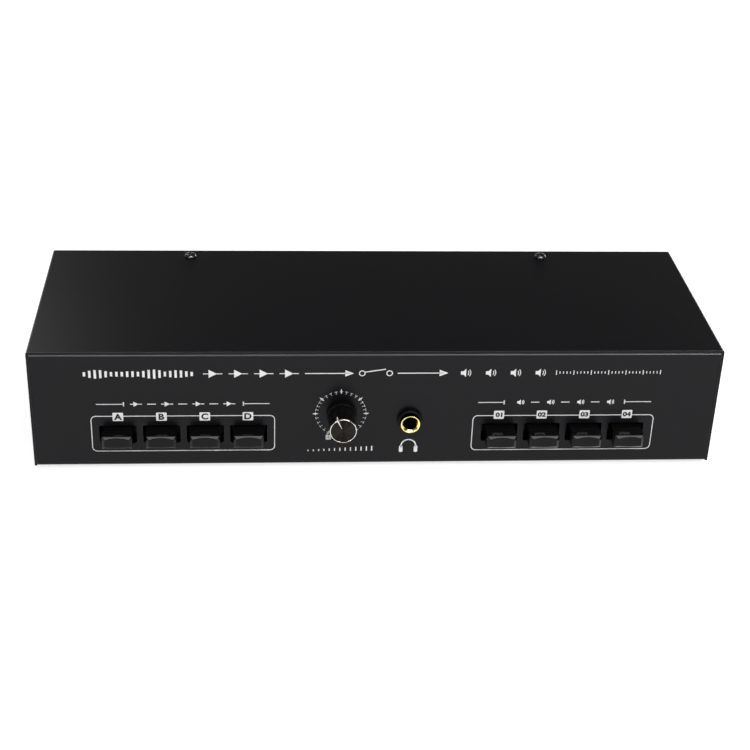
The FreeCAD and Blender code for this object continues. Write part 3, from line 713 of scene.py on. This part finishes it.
# Studio: a white floor that fades into a white surround, with three soft lamps in front and two behind.
REACH = 6.0
FLOOR_WHITE = (0.86, 0.86, 0.86, 1)
LIFT = {"From Min": 0.3, "From Max": 1.3, "To Min": 0.7, "To Max": 1.0}
SCREEN = {"From Min": 0.06, "From Max": 0.20, "To Min": 1.0, "To Max": 0.0}
SURROUND = 0.10
AIM_HEIGHT = 0.03
floor_mesh = bpy.data.meshes.new("floor")
floor_mesh.from_pydata([(-REACH, -REACH, 0), (REACH, -REACH, 0), (REACH, REACH, 0), (-REACH, REACH, 0)],
                       [], [(0, 1, 2, 3)])
floor = bpy.data.objects.new("floor", floor_mesh)
scene.collection.objects.link(floor)
floor_white = bpy.data.materials.new("floor_white")
floor_white.use_nodes = True
tree = floor_white.node_tree
shader = tree.nodes["Principled BSDF"]
shader.inputs["Base Color"].default_value = FLOOR_WHITE
shader.inputs["Roughness"].default_value = 0.9
shader.inputs["Specular IOR Level"].default_value = 0.0
shader.inputs["Emission Color"].default_value = (1, 1, 1, 1)
rays = tree.nodes.new("ShaderNodeLightPath")
either = tree.nodes.new("ShaderNodeMath")
either.operation = "MAXIMUM"
tree.links.new(rays.outputs["Is Camera Ray"], either.inputs[0])
tree.links.new(rays.outputs["Is Glossy Ray"], either.inputs[1])
seen = tree.nodes.new("ShaderNodeMath")
seen.operation = "MAXIMUM"
tree.links.new(either.outputs[0], seen.inputs[0])
tree.links.new(rays.outputs["Is Transmission Ray"], seen.inputs[1])
# The lift is weaker near the object, so that its shadow stays, and full where the lamps don't reach.
place = tree.nodes.new("ShaderNodeTexCoord")
distance = tree.nodes.new("ShaderNodeVectorMath")
distance.operation = "LENGTH"
tree.links.new(place.outputs["Object"], distance.inputs[0])
lift = tree.nodes.new("ShaderNodeMapRange")
for label, value in LIFT.items():
    lift.inputs[label].default_value = value
tree.links.new(distance.outputs["Value"], lift.inputs["Value"])
strength = tree.nodes.new("ShaderNodeMath")
strength.operation = "MULTIPLY"
tree.links.new(seen.outputs[0], strength.inputs[0])
tree.links.new(lift.outputs["Result"], strength.inputs[1])
tree.links.new(strength.outputs[0], shader.inputs["Emission Strength"])
floor_mesh.materials.append(floor_white)

world = bpy.data.worlds.new("surround")
scene.world = world
world.use_nodes = True
tree = world.node_tree
tree.nodes.clear()
out = tree.nodes.new("ShaderNodeOutputWorld")
lit = tree.nodes.new("ShaderNodeBackground")
lit.inputs["Color"].default_value = (1, 1, 1, 1)
lit.inputs["Strength"].default_value = SURROUND
white = tree.nodes.new("ShaderNodeBackground")
white.inputs["Color"].default_value = (1, 1, 1, 1)
white.inputs["Strength"].default_value = 1.0
rays = tree.nodes.new("ShaderNodeLightPath")
seen = tree.nodes.new("ShaderNodeMath")
seen.operation = "MAXIMUM"
tree.links.new(rays.outputs["Is Camera Ray"], seen.inputs[0])
tree.links.new(rays.outputs["Is Transmission Ray"], seen.inputs[1])
# Glossy rays see the white only near the horizon, as if a low white screen stood round the floor.
heading = tree.nodes.new("ShaderNodeTexCoord")
parts = tree.nodes.new("ShaderNodeSeparateXYZ")
tree.links.new(heading.outputs["Generated"], parts.inputs[0])
screen = tree.nodes.new("ShaderNodeMapRange")
for label, value in SCREEN.items():
    screen.inputs[label].default_value = value
tree.links.new(parts.outputs["Z"], screen.inputs["Value"])
low_glossy = tree.nodes.new("ShaderNodeMath")
low_glossy.operation = "MULTIPLY"
tree.links.new(rays.outputs["Is Glossy Ray"], low_glossy.inputs[0])
tree.links.new(screen.outputs["Result"], low_glossy.inputs[1])
white_share = tree.nodes.new("ShaderNodeMath")
white_share.operation = "MAXIMUM"
tree.links.new(seen.outputs[0], white_share.inputs[0])
tree.links.new(low_glossy.outputs[0], white_share.inputs[1])
choose = tree.nodes.new("ShaderNodeMixShader")
tree.links.new(white_share.outputs[0], choose.inputs[0])
tree.links.new(lit.outputs[0], choose.inputs[1])
tree.links.new(white.outputs[0], choose.inputs[2])
tree.links.new(choose.outputs[0], out.inputs["Surface"])

LAMPS = {  # place, width and height, power
    "front_right": ((0.58, -0.98, 0.75), (0.35, 0.35), 4.5),
    "front_left": ((-0.72, -1.00, 0.58), (0.35, 0.35), 3.0),
    "overhead_strip": ((0.15, -0.72, 1.13), (1.1, 0.25), 8.0),
    "rear_left": ((-0.55, 1.0, 0.85), (0.5, 0.5), 1.6),
    "rear_right": ((1.05, 1.05, 0.35), (0.5, 0.5), 4.0),
}
for name, (place, (width, height), power) in LAMPS.items():
    lamp = bpy.data.lights.new(name, "AREA")
    lamp.shape = "RECTANGLE"
    lamp.size, lamp.size_y = width, height
    lamp.energy = power
    holder = bpy.data.objects.new(name, lamp)
    holder.location = place
    away = Vector(place) - Vector((0, 0, AIM_HEIGHT))
    holder.rotation_euler = away.to_track_quat("Z", "Y").to_euler()
    scene.collection.objects.link(holder)

scene.view_settings.view_transform = "Standard"
